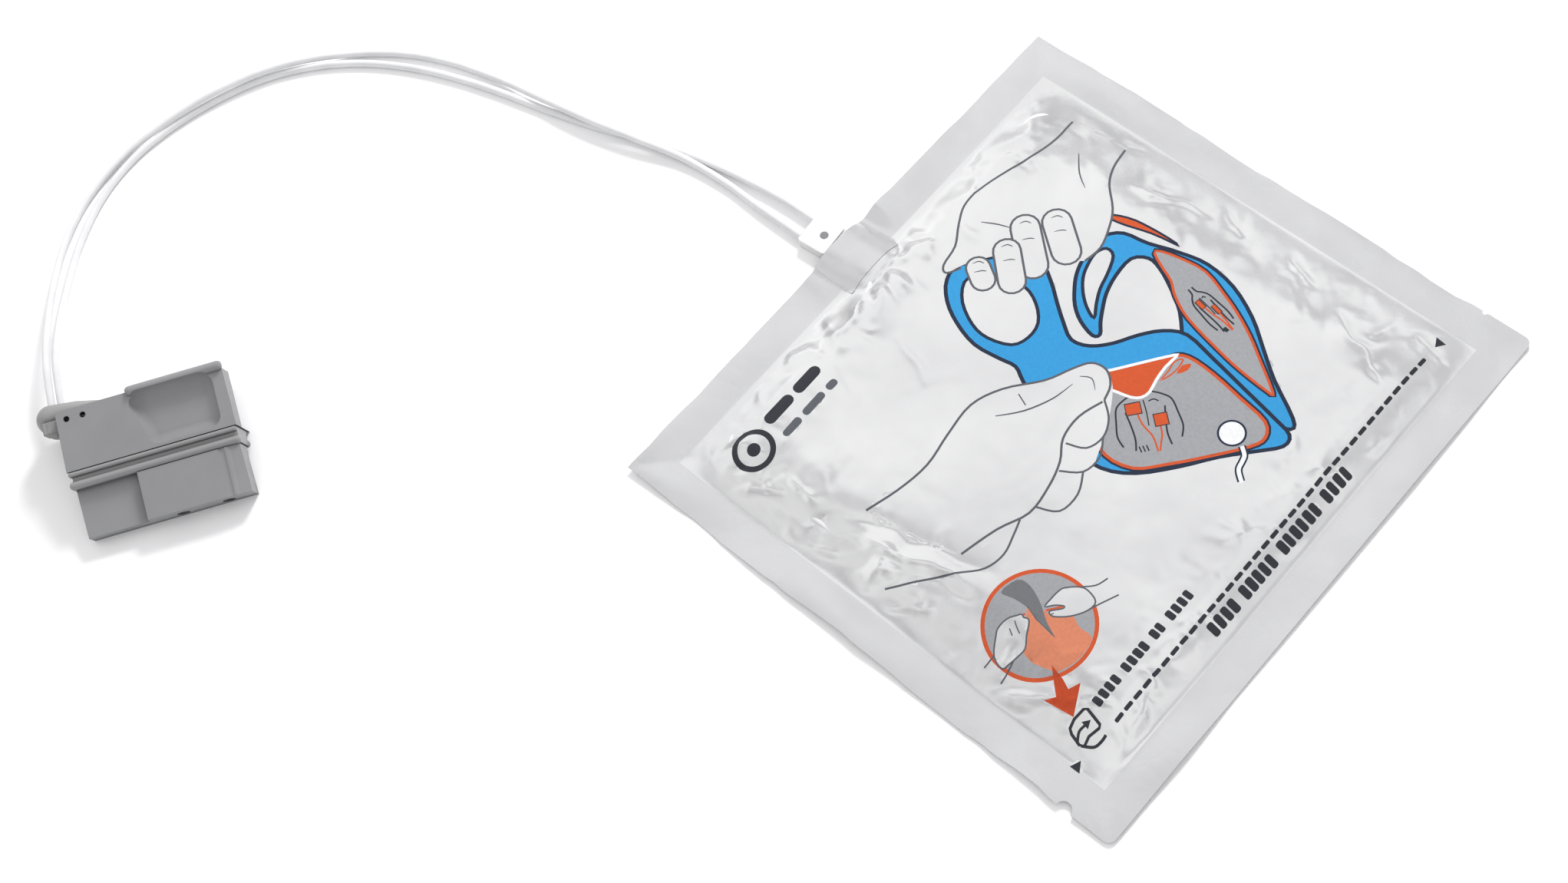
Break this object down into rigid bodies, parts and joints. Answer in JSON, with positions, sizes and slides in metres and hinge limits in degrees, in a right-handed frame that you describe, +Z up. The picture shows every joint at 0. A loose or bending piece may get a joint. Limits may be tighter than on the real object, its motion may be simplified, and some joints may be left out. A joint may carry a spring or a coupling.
{
  "type": "defibrillation electrode pad pouch",
  "caption": "Sealed foil pouch holding a folded carrier with two electrode pads; white leads run out through a port and yoke to a flat grey plug; the tear strip and pads slide out.",
  "frame": {"origin": "centre of the pouch on the surface it lies on", "axes": "+X along the tear edge, +Y from the tear edge to the lead edge, +Z up"},
  "size_m": [0.3897, 0.4943, 0.0265],
  "materials": {
    "foil": "satin, wrinkled laminate",
    "patch_film": "translucent heat-sealed patch",
    "white_plastic": "moulded, satin",
    "lead_white": "soft extruded jacket",
    "pin_grey": "moulded",
    "carrier_blue": "thin vacuum-formed sheet",
    "hydrogel": "wet, clear",
    "tin_foil": "thin tin sheet",
    "foam_white": "closed-cell foam",
    "label_grey": "printed film",
    "rivet_steel": "pressed",
    "tab_orange": "printed film",
    "plug_grey": "fine moulded texture",
    "relief_grey": "moulded elastomer",
    "seal_grey": "moulded elastomer",
    "block_dark": "moulded",
    "contact_brass": "turned",
    "board_green": "solder mask",
    "chip_black": "moulded",
    "contact_gold": "plated"
  },
  "bodies": {
    "pouch": {"pouch_back_film": "foil", "pouch_front_film": "foil", "port_patch": "patch_film", "port_fitment": "white_plastic", "sternum_inner_lead": "lead_white", "apex_inner_lead": "lead_white", "lead_yoke": "white_plastic", "yoke_pin": "pin_grey", "sternum_lead": "lead_white", "apex_lead": "lead_white", "plug_strain_relief": "relief_grey", "plug_front_shell": "plug_grey", "plug_rear_shell": "plug_grey", "waist_seal": "seal_grey", "contact_block": "block_dark", "sternum_contact_socket": "contact_brass", "apex_contact_socket": "contact_brass", "sternum_plug_wire": "lead_white", "apex_plug_wire": "lead_white", "circuit_board": "board_green", "memory_chip": "chip_black", "board_contacts": "contact_gold"},
    "tear_strip": {"tear_strip_back_film": "foil", "tear_strip_front_film": "foil"},
    "pads": {"release_carrier": "carrier_blue", "upper_pad_gel": "hydrogel", "upper_pad_conductor": "tin_foil", "upper_pad_foam": "foam_white", "upper_pad_label": "label_grey", "upper_pad_rivet": "rivet_steel", "upper_terminal_cover": "white_plastic", "upper_peel_tab": "tab_orange", "lower_pad_gel": "hydrogel", "lower_pad_conductor": "tin_foil", "lower_pad_foam": "foam_white", "lower_pad_label": "label_grey", "lower_pad_rivet": "rivet_steel", "lower_terminal_cover": "white_plastic", "lower_peel_tab": "tab_orange"}
  },
  "joints": [
    {"name": "tear_strip_off", "type": "slide", "parent": "pouch", "child": "tear_strip", "axis": [0, -1, 0], "range_m": [0, 0.24]},
    {"name": "pads_out", "type": "slide", "parent": "pouch", "child": "pads", "axis": [0, -1, 0], "range_m": [0, 0.168]}
  ],
  "couplings": [
    {"joint": "pads_out", "follows": "tear_strip_off", "ratio": 0.7}
  ]
}
